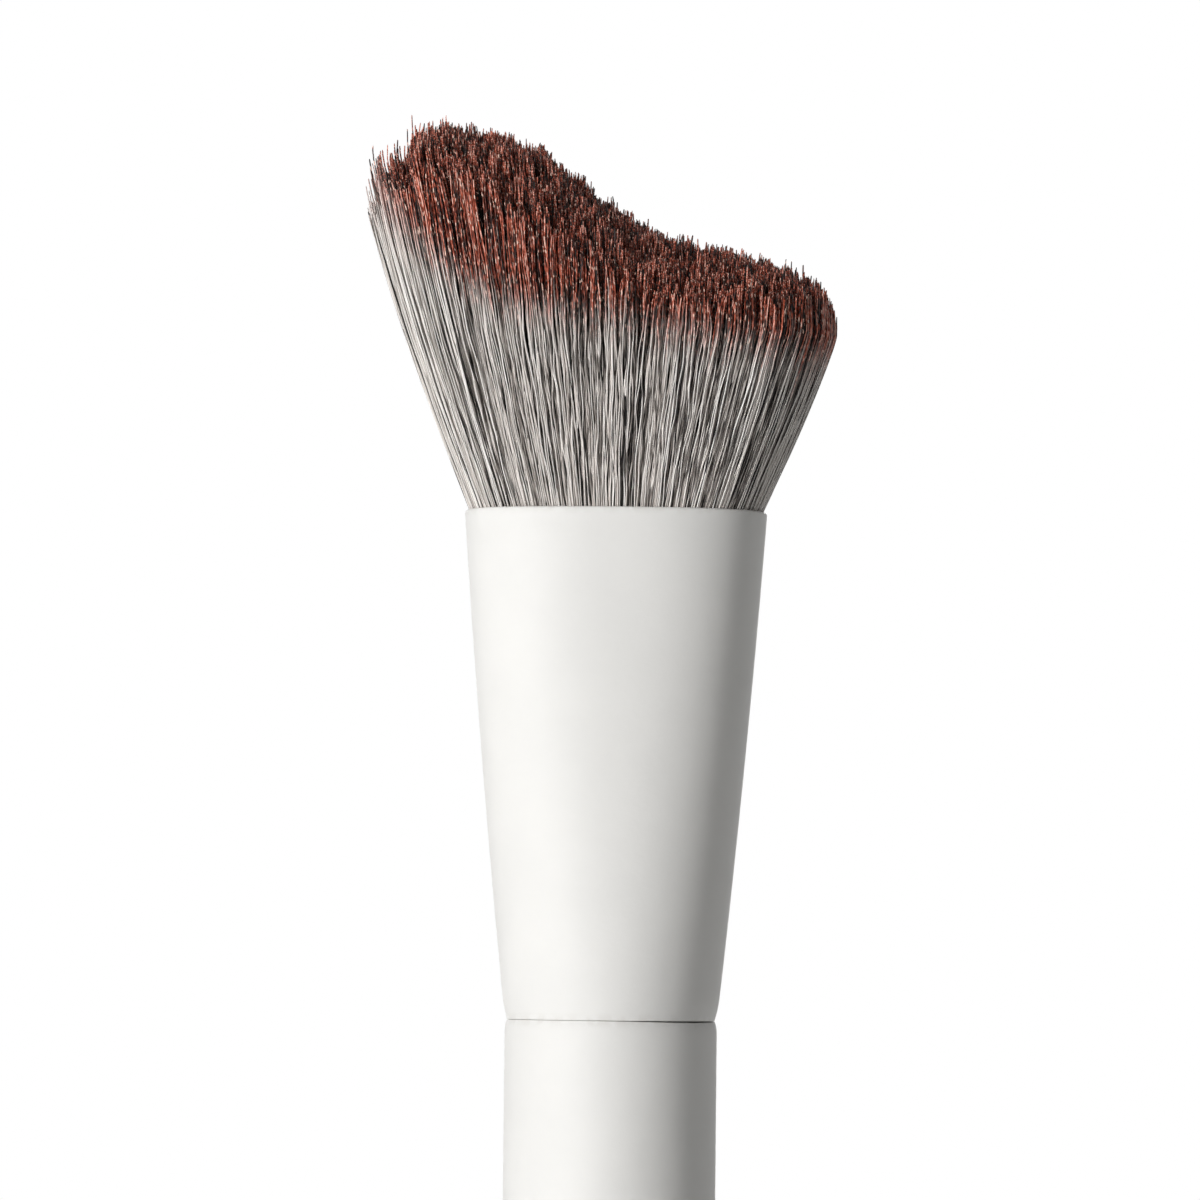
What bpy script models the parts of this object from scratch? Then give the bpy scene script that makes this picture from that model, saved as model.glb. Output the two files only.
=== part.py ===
"""Dual-ended blush brush with a straight tube handle.

The brush stands upright. +Z runs along the handle to the large head, +X runs across the wide side of
that head, and the origin is on the axis at the middle of the handle. Each head is built upwards from
its own seam with the handle, under an empty at that seam, so the small head is a head turned over.
"""

import math
import random
from collections import namedtuple

import bmesh
import bpy
from mathutils import Vector

MM = 0.001

# Pieces that seat on each other keep this gap, and it shows as the seam at each end of the handle.
FIT_GAP = 0.3 * MM

# Handle: a straight lacquered tube whose end edges are eased.
HANDLE_LENGTH = 78.0 * MM
HANDLE_DIAMETER = 13.0 * MM
HANDLE_WALL = 1.2 * MM
SHOULDER_HEIGHT = 0.8 * MM
SHOULDER_INSET = 0.2 * MM

# Plugs: a spigot in the handle and a wider one in the ferrule, with a shoulder between them.
PLUG_DEPTH = 14.0 * MM
PLUG_CHAMFER = 0.6 * MM

# Ferrules: pressed sleeves that start as wide as the handle, with the lower edge drawn in.
FERRULE_WALL = 0.4 * MM
HEM_HEIGHT = 1.7 * MM
HEM_INSET = 0.22 * MM
LARGE_FERRULE_LENGTH = 31.0 * MM
LARGE_MOUTH_WIDTH = 18.6 * MM
LARGE_MOUTH_DEPTH = 13.5 * MM
SMALL_FERRULE_LENGTH = 24.0 * MM
SMALL_MOUTH_DIAMETER = 12.2 * MM
# An exponent of 2 is an ellipse, and a higher one has flatter sides and tighter corners.
HANDLE_EXPONENT = 2.0
LARGE_MOUTH_EXPONENT = 2.5
SMALL_MOUTH_EXPONENT = 2.0
# How far the taper runs ahead of a straight cone at mid-height, in quarters of the whole taper.
TAPER_EASE_SHARE = 0.2

# Bundle inside the ferrule, from the rim down: a collar that fills the mouth, a taper, a waist bound
# with thread, and a foot in a cup of glue.
ROOT_RECESS = 0.3 * MM
COLLAR_HEIGHT = 4.0 * MM
COLLAR_TAPER_HEIGHT = 2.0 * MM
THREAD_DIAMETER = 0.5 * MM
THREAD_PITCH = 1.1 * MM
THREAD_TURNS = 3
GLUE_WALL = 0.6 * MM
GLUE_CUP_DEPTH = 4.0 * MM
GLUE_FLOOR = 3.0 * MM

# Large tuft, above the rim: a high crest towards -X and a low lobe towards +X.
LARGE_CREST_HEIGHT = 24.3 * MM
LARGE_LOBE_HEIGHT = 16.0 * MM
LARGE_STEP_PLACE = -1.8 * MM
LARGE_STEP_WIDTH = 5.2 * MM
LARGE_CREST_REACH = 15.9 * MM
LARGE_LOBE_REACH = 13.5 * MM
LARGE_HALF_DEPTH = 9.6 * MM
LARGE_CREST_FLARE_HEIGHT = 22.0 * MM
LARGE_LOBE_FLARE_HEIGHT = 11.5 * MM
LARGE_DEPTH_FLARE_HEIGHT = 14.0 * MM
# What the cut takes off its top: outside a share of the way to the crest's corner, along the lobe,
# round the very rim, and towards the front and back.
LARGE_CORNER_DROP = 2.0 * MM
LARGE_CORNER_SHARE = 0.84
LARGE_CORNER_ROUND_SHARE = 0.015
LARGE_LOBE_DROP = 1.6 * MM
LARGE_RIM_DROP = 1.6 * MM
LARGE_CREST_FACE_DROP = 5.6 * MM
LARGE_LOBE_FACE_DROP = 3.8 * MM
# How high the dye starts: a slope from the lobe to the crest, and a steep rise at the crest's corner.
LARGE_LOBE_DYE_HEIGHT = 9.1 * MM
LARGE_CREST_DYE_HEIGHT = 12.5 * MM
LARGE_CORNER_DYE_RISE = 6.4 * MM
LARGE_COLUMNS = 20
LARGE_ROWS = 15

# Small tuft, above its rim: a flat dome with round shoulders. Its middle is cut level, and the brush
# stands on that.
SMALL_TUFT_HEIGHT = 18.5 * MM
SMALL_TUFT_DIAMETER = 17.0 * MM
SMALL_FLARE_HEIGHT = 12.0 * MM
SMALL_DOME_DROP = 5.0 * MM
SMALL_LEVEL_CUT = 0.5 * MM
SMALL_DYE_HEIGHT = 9.0 * MM
SMALL_COLUMNS = 10
SMALL_ROWS = 10

# Strands: each rises from its cell of the bundle and thins to a point.
LOBE_DROP_POWER = 2.5
RIM_DROP_POWER = 20
FACE_DROP_POWER = 2.5
DOME_DROP_POWER = 5
CORNER_DYE_POWER = 10
FLARE_ROUND_SHARE = 0.5
DYE_WIDTH_SHARE = 0.74
NECK_WIDTH_SHARE = 0.52
NECK_HEIGHT_SHARE = 0.72
ROW_LEAN_SHARE = 0.5
SWAY_SHARE = 0.3
TIP_SCATTER = 0.8 * MM
SEED = 11

# Facets round the shells that show, then round the plugs and glue, and the rest of the mesh's counts.
FACET_COUNT = 48
HIDDEN_FACET_COUNT = 32
THREAD_POINTS = 24
ARC_STEPS = 4
WALL_STEPS = 3

SHARP_ANGLE = math.radians(35)

# Finishes: linear red, green and blue, then roughness.
FINISHES = {
    "white_lacquer": (0.87, 0.86, 0.83, 0.38),
    "plug_plastic": (0.62, 0.62, 0.60, 0.6),
    "amber_glue": (0.55, 0.42, 0.22, 0.3),
    "binding_cotton": (0.80, 0.77, 0.70, 0.9),
    "grey_filament": (0.36, 0.32, 0.29, 0.4),
    "brown_dyed_filament": (0.13, 0.045, 0.03, 0.4),
}

Ferrule = namedtuple("Ferrule", "length half_width half_depth exponent")
Tuft = namedtuple("Tuft", "columns rows half_width half_depth top dye_height")
Stack = namedtuple("Stack", "root_top collar_bottom waist_top waist_bottom foot_bottom plug_top")
Root = namedtuple("Root", "half_width half_depth exponent z")


# Profiles and sections
def handle_radius():
    return HANDLE_DIAMETER / 2


def mixed(low, high, share):
    return low + (high - low) * share


def eased(share):
    """Inset of a rounded edge, from 1 at its end to 0 where it meets the straight wall."""
    return 1 - math.sqrt(1 - (1 - share) ** 2)


def superellipse(angle, exponent):
    """Point at this angle on a unit superellipse."""
    across, along = math.cos(angle), math.sin(angle)
    radius = (abs(across) ** exponent + abs(along) ** exponent) ** (-1 / exponent)
    return radius * across, radius * along


def ferrule_section(ferrule, z, inset):
    """Half width, half depth and exponent of the ferrule's outside at height z, moved in by inset."""
    share = min(max(z / ferrule.length, 0), 1)
    taper = share + TAPER_EASE_SHARE * share * (1 - share)
    half_width = mixed(handle_radius(), ferrule.half_width, taper)
    half_depth = mixed(handle_radius(), ferrule.half_depth, taper)
    exponent = mixed(HANDLE_EXPONENT, ferrule.exponent, share)
    hem = HEM_INSET * eased(min(max(z / HEM_HEIGHT, 0), 1))
    return half_width - inset - hem, half_depth - inset - hem, exponent


def ferrule_ring(ferrule, z, inset, angles):
    half_width, half_depth, exponent = ferrule_section(ferrule, z, inset)
    ring = []
    for angle in angles:
        across, along = superellipse(angle, exponent)
        ring.append(Vector((half_width * across, half_depth * along, z)))
    return ring


def round_ring(radius, z, count):
    return [
        Vector((radius * math.cos(angle), radius * math.sin(angle), z))
        for angle in full_turn(count)
    ]


def full_turn(count):
    return [math.tau * step / count for step in range(count)]


# Materials and objects
def principled(name):
    *colour, roughness = FINISHES[name]
    material = bpy.data.materials.new(name)
    material.use_nodes = True
    shader = material.node_tree.nodes["Principled BSDF"]
    shader.inputs["Base Color"].default_value = (*colour, 1)
    shader.inputs["Roughness"].default_value = roughness
    shader.inputs["Metallic"].default_value = 0
    material.diffuse_color = (*colour, 1)
    return material


def new_object(name, data, parent, materials):
    piece = bpy.data.objects.new(name, data)
    bpy.context.scene.collection.objects.link(piece)
    piece.parent = parent
    for material in materials:
        data.materials.append(material)
    return piece


def mesh_object(name, solid, parent, materials):
    mesh = bpy.data.meshes.new(name)
    solid.to_mesh(mesh)
    solid.free()
    mesh.shade_smooth()
    mesh.set_sharp_from_angle(angle=SHARP_ANGLE)
    return new_object(name, mesh, parent, materials)


def seam_empty(name, z, turned_over):
    empty = bpy.data.objects.new(name, None)
    bpy.context.scene.collection.objects.link(empty)
    empty.location.z = z
    empty.rotation_euler.x = math.pi if turned_over else 0
    return empty


# Solids from rings
def add_rings(solid, rings):
    return [[solid.verts.new(point) for point in ring] for ring in rings]


def skin(solid, lower, upper):
    """Faces between two rings of vertices that run anticlockwise seen from above, facing out."""
    count = len(lower)
    for step in range(count):
        following = (step + 1) % count
        solid.faces.new((lower[step], lower[following], upper[following], upper[step]))


def shell_of(rings):
    """Solid sleeve from rings that go up the outside and down the inside, the last joined to the first."""
    solid = bmesh.new()
    loops = add_rings(solid, rings)
    for step, loop in enumerate(loops):
        skin(solid, loop, loops[(step + 1) % len(loops)])
    return solid


def plug_of(rings):
    """Solid from rings that go up, closed by a flat face at each end."""
    solid = bmesh.new()
    loops = add_rings(solid, rings)
    for lower, upper in zip(loops, loops[1:]):
        skin(solid, lower, upper)
    solid.faces.new(loops[-1])
    solid.faces.new(reversed(loops[0]))
    return solid


# Handle and plugs
def make_handle(lacquer):
    """Tube with eased outer edges at both ends."""
    bore = handle_radius() - HANDLE_WALL
    end = HANDLE_LENGTH / 2
    shares = [step / ARC_STEPS for step in range(ARC_STEPS + 1)]
    lower_edge = [
        (handle_radius() - SHOULDER_INSET * eased(share), SHOULDER_HEIGHT * share - end)
        for share in shares
    ]
    upper_edge = [(radius, -z) for radius, z in reversed(lower_edge)]
    profile = lower_edge + upper_edge + [(bore, end), (bore, -end)]
    solid = shell_of([round_ring(radius, z, FACET_COUNT) for radius, z in profile])
    return mesh_object("handle_barrel", solid, None, [lacquer])


def make_plug(name, ferrule, stack, seam, plastic):
    """Stepped plug whose shoulder sits on the handle's end, one gap above it."""
    spigot = handle_radius() - HANDLE_WALL - FIT_GAP
    half_width, _, _ = ferrule_section(ferrule, 0, FERRULE_WALL + FIT_GAP)
    profile = [
        (spigot - PLUG_CHAMFER, -PLUG_DEPTH),
        (spigot, PLUG_CHAMFER - PLUG_DEPTH),
        (spigot, 0),
        (half_width, 0),
        (half_width, stack.plug_top - PLUG_CHAMFER),
        (half_width - PLUG_CHAMFER, stack.plug_top),
    ]
    solid = plug_of([round_ring(radius, z, HIDDEN_FACET_COUNT) for radius, z in profile])
    return mesh_object(name, solid, seam, [plastic])


# Ferrules
def make_ferrule(name, ferrule, seam, lacquer):
    """Sleeve that widens from the seam to the mouth, with a drawn-in hem and a rounded lip."""
    lip = FERRULE_WALL / 2
    hem = [HEM_HEIGHT * step / ARC_STEPS for step in range(ARC_STEPS + 1)]
    wall_top = ferrule.length - lip
    wall = [mixed(HEM_HEIGHT, wall_top, step / WALL_STEPS) for step in range(1, WALL_STEPS + 1)]
    outside = [(z, 0) for z in hem + wall]
    lip_arc = [
        (wall_top + lip * math.sin(turn), lip - lip * math.cos(turn))
        for turn in [math.pi * step / ARC_STEPS for step in range(1, ARC_STEPS)]
    ]
    inside = [(z, FERRULE_WALL) for z in (*reversed(wall), HEM_HEIGHT, 0)]
    angles = full_turn(FACET_COUNT)
    solid = shell_of([ferrule_ring(ferrule, z, inset, angles) for z, inset in outside + lip_arc + inside])
    return mesh_object(name, solid, seam, [lacquer])


# Bundle, glue and thread
def bundle_stack(ferrule):
    """Heights in the ferrule, worked down from its rim so that the tuft keeps its seat in the mouth."""
    root_top = ferrule.length - ROOT_RECESS
    collar_bottom = root_top - COLLAR_HEIGHT
    waist_top = collar_bottom - COLLAR_TAPER_HEIGHT
    waist_bottom = waist_top - THREAD_TURNS * THREAD_PITCH - THREAD_DIAMETER - 2 * FIT_GAP
    foot_bottom = waist_bottom - GLUE_CUP_DEPTH
    plug_top = foot_bottom - FIT_GAP - GLUE_FLOOR - FIT_GAP
    return Stack(root_top, collar_bottom, waist_top, waist_bottom, foot_bottom, plug_top)


def foot_inset():
    """From the ferrule's outside to the bundle's foot: its wall, a gap, the glue and a gap."""
    return FERRULE_WALL + FIT_GAP + GLUE_WALL + FIT_GAP


def waist_inset():
    return foot_inset() + THREAD_DIAMETER / 2


def make_glue(name, ferrule, stack, seam, amber):
    """Cup cast round the foot of the bundle: a floor on the plug and a wall up to the thread."""
    outer = FERRULE_WALL + FIT_GAP
    inner = outer + GLUE_WALL
    cup_floor = stack.foot_bottom - FIT_GAP
    cup_top = stack.waist_bottom - FIT_GAP
    profile = [
        (stack.plug_top + FIT_GAP, outer),
        (cup_floor, outer),
        (cup_top, outer),
        (cup_top, inner),
        (cup_floor, inner),
    ]
    angles = full_turn(HIDDEN_FACET_COUNT)
    solid = plug_of([ferrule_ring(ferrule, z, inset, angles) for z, inset in profile])
    return mesh_object(name, solid, seam, [amber])


def thread_route(ferrule, stack):
    """Helix on the bundle's waist, with a straight tail of one diameter at each end."""
    inset = waist_inset() - FIT_GAP - THREAD_DIAMETER / 2
    start = stack.waist_bottom + FIT_GAP + THREAD_DIAMETER / 2
    route = []
    for step in range(THREAD_TURNS * THREAD_POINTS + 1):
        turns = step / THREAD_POINTS
        z = start + THREAD_PITCH * turns
        route.extend(ferrule_ring(ferrule, z, inset, [math.tau * turns]))
    first_run = (route[0] - route[1]).normalized() * THREAD_DIAMETER
    last_run = (route[-1] - route[-2]).normalized() * THREAD_DIAMETER
    return [route[0] + first_run, *route, route[-1] + last_run]


def least_gap(route):
    """Least clear distance between points of the thread that are half a turn or more apart."""
    apart = THREAD_POINTS // 2
    least = min(
        (point - other).length
        for place, point in enumerate(route)
        for other in route[place + apart :]
    )
    return least - THREAD_DIAMETER


def make_thread(name, ferrule, stack, seam, cotton):
    route = thread_route(ferrule, stack)
    curve = bpy.data.curves.new(name, "CURVE")
    curve.dimensions = "3D"
    curve.bevel_depth = THREAD_DIAMETER / 2
    curve.bevel_resolution = 1
    curve.use_fill_caps = True
    spline = curve.splines.new("POLY")
    spline.points.add(len(route) - 1)
    for point, place in zip(spline.points, route):
        point.co = (*place, 1)
    print(f"{name}: least gap to itself {least_gap(route) / MM:.2f} mm")
    return new_object(name, curve, seam, [cotton])


# Tufts
def grid_to_disc(across, along):
    """Radius and angle in the unit disc of a point in the square from -1 to 1, keeping areas even."""
    if across == 0 and along == 0:
        return 0, 0
    if abs(across) > abs(along):
        radius, angle = across, math.pi / 4 * along / across
    else:
        radius, angle = along, math.pi / 2 - math.pi / 4 * across / along
    return (radius, angle) if radius > 0 else (-radius, angle + math.pi)


def flare(share):
    """Share of the whole flare reached at this share of its height: half straight, half rounded off."""
    share = min(max(share, 0), 1)
    rounded = math.sin(math.pi / 2 * share)
    return share + FLARE_ROUND_SHARE * (rounded - share)


def smooth_step(distance, width):
    """0 well before the place that the distance is measured from and 1 well after it."""
    return (1 + math.tanh(distance / width)) / 2


def large_half_width(p, root, height):
    crest = mixed(root, LARGE_CREST_REACH, flare(height / LARGE_CREST_FLARE_HEIGHT))
    lobe = mixed(root, LARGE_LOBE_REACH, flare(height / LARGE_LOBE_FLARE_HEIGHT))
    return mixed(crest, lobe, (1 + p) / 2)


def large_half_depth(_, root, height):
    return mixed(root, LARGE_HALF_DEPTH, flare(height / LARGE_DEPTH_FLARE_HEIGHT))


def large_top(p, q, scatter):
    towards_lobe = (1 + p) / 2
    x = p * mixed(LARGE_CREST_REACH, LARGE_LOBE_REACH, towards_lobe)
    lobe_share = smooth_step(x - LARGE_STEP_PLACE, LARGE_STEP_WIDTH)
    corner = LARGE_CORNER_DROP * smooth_step(-p - LARGE_CORNER_SHARE, LARGE_CORNER_ROUND_SHARE)
    lobe = LARGE_LOBE_DROP * max(p, 0) ** LOBE_DROP_POWER
    rim = LARGE_RIM_DROP * abs(p) ** RIM_DROP_POWER
    face = mixed(LARGE_CREST_FACE_DROP, LARGE_LOBE_FACE_DROP, towards_lobe) * abs(q) ** FACE_DROP_POWER
    height = mixed(LARGE_CREST_HEIGHT, LARGE_LOBE_HEIGHT, lobe_share)
    return height - corner - lobe - rim - face + scatter


def large_dye_height(p, _):
    towards_crest = (1 - p) / 2
    rise = LARGE_CORNER_DYE_RISE * towards_crest**CORNER_DYE_POWER
    return mixed(LARGE_LOBE_DYE_HEIGHT, LARGE_CREST_DYE_HEIGHT, towards_crest) + rise


def small_half_width(_, root, height):
    return mixed(root, SMALL_TUFT_DIAMETER / 2, flare(height / SMALL_FLARE_HEIGHT))


def small_top(p, q, scatter):
    dome = SMALL_TUFT_HEIGHT - SMALL_DOME_DROP * math.hypot(p, q) ** DOME_DROP_POWER
    return min(dome + scatter, SMALL_TUFT_HEIGHT - SMALL_LEVEL_CUT)


def small_dye_height(*_):
    return SMALL_DYE_HEIGHT


def strand_levels(tuft, middle, chance):
    """Heights above the root, with width shares, where the dye begins, at the neck and at the point."""
    top = ROOT_RECESS + tuft.top(*middle, TIP_SCATTER * (chance.random() - 1 / 2))
    dye = ROOT_RECESS + tuft.dye_height(*middle)
    neck = mixed(dye, top, NECK_HEIGHT_SHARE)
    return (dye, DYE_WIDTH_SHARE), (neck, NECK_WIDTH_SHARE), (top, 0)


def flow_point(tuft, root, place, height):
    """Where the strand that leaves the bundle at this place of the unit section is at this height."""
    p, q = place
    half_width = tuft.half_width(p, root.half_width, height)
    half_depth = tuft.half_depth(p, root.half_depth, height)
    return Vector((p * half_width, q * half_depth, root.z + height))


def strand_ring(tuft, root, places, middle, sway, level):
    """Corners of a strand at one level, drawn in towards the outer side of its own cell.

    So the outermost strands still draw the tuft's outline where they are thin, and none cross.
    """
    height, width_share = level
    centre = flow_point(tuft, root, middle, height)
    ends = [flow_point(tuft, root, place, height) for place in places]
    across = (ends[1] + ends[2] - ends[0] - ends[3]) / 2
    along = (ends[2] + ends[3] - ends[0] - ends[1]) / 2
    shift = across * (middle[0] + sway[0]) + along * (middle[1] + sway[1])
    centre_now = centre + shift * (1 - width_share) / 2
    if width_share == 0:
        return [centre_now]
    return [centre_now + (end - centre) * width_share for end in ends]


def add_strand(solid, tuft, root, corners, places, lean, chance):
    """One four-sided strand on its cell's corner vertices, whose places in the unit section are given."""
    middle = [sum(place[axis] for place in places) / len(places) for axis in (0, 1)]
    levels = strand_levels(tuft, middle, chance)
    sway = [lean + SWAY_SHARE * (chance.random() - 1 / 2), SWAY_SHARE * (chance.random() - 1 / 2)]
    below = corners
    for step, level in enumerate(levels):
        ring = strand_ring(tuft, root, places, middle, sway, level)
        above = [solid.verts.new(point) for point in ring]
        for side, vert in enumerate(below):
            following = (side + 1) % len(below)
            cap = [above[following], above[side]] if len(above) > 1 else above
            face = solid.faces.new((vert, below[following], *cap))
            face.material_index = min(step, 1)
        below = above


def make_bristles(name, ferrule, tuft, stack, seam, materials):
    """Packed bundle with a strand on every cell of its top, in one body."""
    chance = random.Random(SEED)
    inset = FERRULE_WALL + FIT_GAP
    root = Root(*ferrule_section(ferrule, stack.root_top, inset), stack.root_top)
    solid = bmesh.new()
    polar, places, verts = {}, {}, {}
    for column in range(tuft.columns + 1):
        for row in range(tuft.rows + 1):
            cell = column, row
            polar[cell] = grid_to_disc(2 * column / tuft.columns - 1, 2 * row / tuft.rows - 1)
            radius, angle = polar[cell]
            across, along = superellipse(angle, root.exponent)
            places[cell] = radius * across, radius * along
            verts[cell] = solid.verts.new(flow_point(tuft, root, places[cell], 0))
    for column in range(tuft.columns):
        for row in range(tuft.rows):
            cells = [(column, row), (column + 1, row), (column + 1, row + 1), (column, row + 1)]
            corners = [verts[cell] for cell in cells]
            lean = ROW_LEAN_SHARE if row % 2 else -ROW_LEAN_SHARE
            add_strand(solid, tuft, root, corners, [places[cell] for cell in cells], lean, chance)
    rim = rim_cells(tuft)
    angles = [polar[cell][1] for cell in rim]
    upper = [verts[cell] for cell in rim]
    levels = [
        (stack.collar_bottom, inset),
        (stack.waist_top, waist_inset()),
        (stack.waist_bottom, waist_inset()),
        (stack.waist_bottom, foot_inset()),
        (stack.foot_bottom, foot_inset()),
    ]
    for z, level_inset in levels:
        lower = add_rings(solid, [ferrule_ring(ferrule, z, level_inset, angles)])[0]
        skin(solid, lower, upper)
        upper = lower
    solid.faces.new(reversed(upper))
    return mesh_object(name, solid, seam, materials)


def rim_cells(tuft):
    """Corners of the grid's outer edge, anticlockwise seen from above."""
    columns, rows = tuft.columns, tuft.rows
    front = [(column, 0) for column in range(columns)]
    right = [(columns, row) for row in range(rows)]
    back = [(column, rows) for column in range(columns, 0, -1)]
    left = [(0, row) for row in range(rows, 0, -1)]
    return front + right + back + left


def make_head(name, ferrule, tuft, seam, finish):
    stack = bundle_stack(ferrule)
    make_ferrule(f"{name}_ferrule", ferrule, seam, finish["white_lacquer"])
    make_plug(f"{name}_end_plug", ferrule, stack, seam, finish["plug_plastic"])
    make_glue(f"{name}_root_glue", ferrule, stack, seam, finish["amber_glue"])
    make_thread(f"{name}_binding_thread", ferrule, stack, seam, finish["binding_cotton"])
    filaments = [finish["grey_filament"], finish["brown_dyed_filament"]]
    make_bristles(f"{name}_bristles", ferrule, tuft, stack, seam, filaments)


def main():
    for old in list(bpy.data.objects):
        bpy.data.objects.remove(old)
    finish = {name: principled(name) for name in FINISHES}
    large_ferrule = Ferrule(
        LARGE_FERRULE_LENGTH, LARGE_MOUTH_WIDTH / 2, LARGE_MOUTH_DEPTH / 2, LARGE_MOUTH_EXPONENT
    )
    small_ferrule = Ferrule(
        SMALL_FERRULE_LENGTH, SMALL_MOUTH_DIAMETER / 2, SMALL_MOUTH_DIAMETER / 2, SMALL_MOUTH_EXPONENT
    )
    large_tuft = Tuft(
        LARGE_COLUMNS, LARGE_ROWS, large_half_width, large_half_depth, large_top, large_dye_height
    )
    small_tuft = Tuft(
        SMALL_COLUMNS, SMALL_ROWS, small_half_width, small_half_width, small_top, small_dye_height
    )
    seam_height = HANDLE_LENGTH / 2 + FIT_GAP
    large_seam = seam_empty("large_head_seam", seam_height, False)
    small_seam = seam_empty("small_head_seam", -seam_height, True)
    make_handle(finish["white_lacquer"])
    make_head("large", large_ferrule, large_tuft, large_seam, finish)
    make_head("small", small_ferrule, small_tuft, small_seam, finish)


main()
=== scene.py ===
# %% [markdown]
# # Dressing a dual-ended blush brush
# A blush brush is a bundle of thin filaments, bound with thread, glued into a metal sleeve called a
# ferrule, and seated on a handle. This one has a ferrule and a tuft at each end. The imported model
# gives every piece its real size and place. This notebook gives each piece its finish and replaces
# the few thick strands of the model with many thin filaments.
#
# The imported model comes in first, because everything else is placed by it.

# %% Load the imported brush
import math
from collections import namedtuple

import bmesh
import bpy
import numpy as np
from mathutils import Matrix, Vector


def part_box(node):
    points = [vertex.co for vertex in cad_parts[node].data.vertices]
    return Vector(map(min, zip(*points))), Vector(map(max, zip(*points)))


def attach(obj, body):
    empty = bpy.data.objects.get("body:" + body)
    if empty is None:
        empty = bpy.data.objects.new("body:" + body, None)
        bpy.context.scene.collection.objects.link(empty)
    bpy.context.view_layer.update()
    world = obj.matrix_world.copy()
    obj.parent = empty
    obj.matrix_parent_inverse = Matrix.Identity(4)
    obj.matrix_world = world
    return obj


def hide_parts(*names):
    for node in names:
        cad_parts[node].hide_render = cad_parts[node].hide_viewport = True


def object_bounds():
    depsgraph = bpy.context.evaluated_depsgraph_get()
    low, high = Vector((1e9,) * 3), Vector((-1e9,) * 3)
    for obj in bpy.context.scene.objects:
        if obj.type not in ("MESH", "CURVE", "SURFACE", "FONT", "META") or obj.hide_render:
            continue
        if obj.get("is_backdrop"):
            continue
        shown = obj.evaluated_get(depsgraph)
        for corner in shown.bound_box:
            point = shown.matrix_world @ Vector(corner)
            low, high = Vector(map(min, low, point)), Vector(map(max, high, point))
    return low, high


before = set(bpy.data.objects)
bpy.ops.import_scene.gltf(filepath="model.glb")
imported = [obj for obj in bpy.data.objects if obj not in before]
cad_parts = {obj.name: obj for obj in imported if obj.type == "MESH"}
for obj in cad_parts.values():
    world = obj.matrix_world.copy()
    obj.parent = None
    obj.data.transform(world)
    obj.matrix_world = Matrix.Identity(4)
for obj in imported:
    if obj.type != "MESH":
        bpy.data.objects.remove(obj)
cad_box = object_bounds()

MM = 0.001


def in_mm(*lengths):
    return [round(float(length) / MM, 2) for length in lengths]


print("packed brush in mm:", in_mm(*(cad_box[1] - cad_box[0])))

# %% [markdown]
# ## Where the heads are
# Both heads are built the same way: a sleeve that starts at its seam with the handle and ends in a
# mouth. So one short description of a head serves both, and each function takes a head. Heights in
# it run from the seam towards the mouth, and `side` says whether that is up or down. The numbers
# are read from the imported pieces, so nothing has to be fitted afterwards.

# %% Describe both heads
Head = namedtuple("Head", "name side seam length half_width half_depth exponent")

LIP_HEIGHT = 0.4 * MM
CIRCLE_EXPONENT = 2
OVAL_EXPONENT = 2.5
handle_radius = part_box("handle_barrel")[1].x
handle_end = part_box("handle_barrel")[1].z


def span(node, side):
    """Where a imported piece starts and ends, measured from the brush's middle towards this side."""
    low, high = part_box(node)
    return (low.z, high.z) if side > 0 else (-high.z, -low.z)


def read_head(name, side, exponent):
    """Sizes of a head. The mouth is measured just under the lip, where the wall is straight."""
    near, far = span(f"{name}_ferrule", side)
    seam = (handle_end + near) / 2
    points = [vertex.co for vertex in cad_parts[f"{name}_ferrule"].data.vertices]
    mouth = [point for point in points if far - side * point.z < LIP_HEIGHT]
    half_width, half_depth = (max(point[axis] for point in mouth) for axis in (0, 1))
    return Head(name, side, seam, far - seam, half_width, half_depth, exponent)


large_head = read_head("large", 1, OVAL_EXPONENT)
small_head = read_head("small", -1, CIRCLE_EXPONENT)
for head in (large_head, small_head):
    sizes = in_mm(head.length, 2 * head.half_width, 2 * head.half_depth)
    print(head.name, "ferrule's length, width and depth in mm:", sizes)

# %% [markdown]
# ## The camera
# The photograph was taken with a long lens from a little below the tuft, and the brush leans very
# slightly to the right in it. A camera half a metre away shows the roundness of the sleeve's mouth
# as the photograph does. The lens follows from the width that the picture covers at the brush. A
# lens could also be set by eye, but then every later change of distance would need a new guess.

# %% Set the camera
SENSOR_WIDTH = 36.0
CAMERA_DISTANCE = 0.5
PICTURE_WIDTH = 73.56 * MM
CAMERA_PLACE = Vector((-0.93 * MM, -CAMERA_DISTANCE, 42.8 * MM))
CAMERA_PITCH = math.radians(92.53)
CAMERA_ROLL = math.radians(0.6)

camera_data = bpy.data.cameras.new("photo_camera")
camera_data.sensor_width = SENSOR_WIDTH
camera_data.lens = SENSOR_WIDTH * CAMERA_DISTANCE / PICTURE_WIDTH
camera = bpy.data.objects.new("photo_camera", camera_data)
turn = Matrix.Rotation(CAMERA_PITCH, 4, "X") @ Matrix.Rotation(CAMERA_ROLL, 4, "Z")
camera.matrix_world = Matrix.Translation(CAMERA_PLACE) @ turn
scene = bpy.context.scene
scene.collection.objects.link(camera)
scene.camera = camera
scene.view_settings.view_transform = "Standard"
print("lens in mm:", round(camera_data.lens, 1))

# %% [markdown]
# ## Soft light
# A satin white sleeve is shaped by light alone. A tall softbox to the left makes the bright side
# and the edge of the shade right of the middle. A weak one in front keeps the middle white, a weak
# one to the right gives the shade its even grey, one behind lights the back, and a weak one hangs
# above. An area light's power spreads over a half sphere, so pi squared times the distance squared
# is the power at which a surface facing it shows its own colour. Giving each light a share of that
# keeps the sum easy to read.

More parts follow.
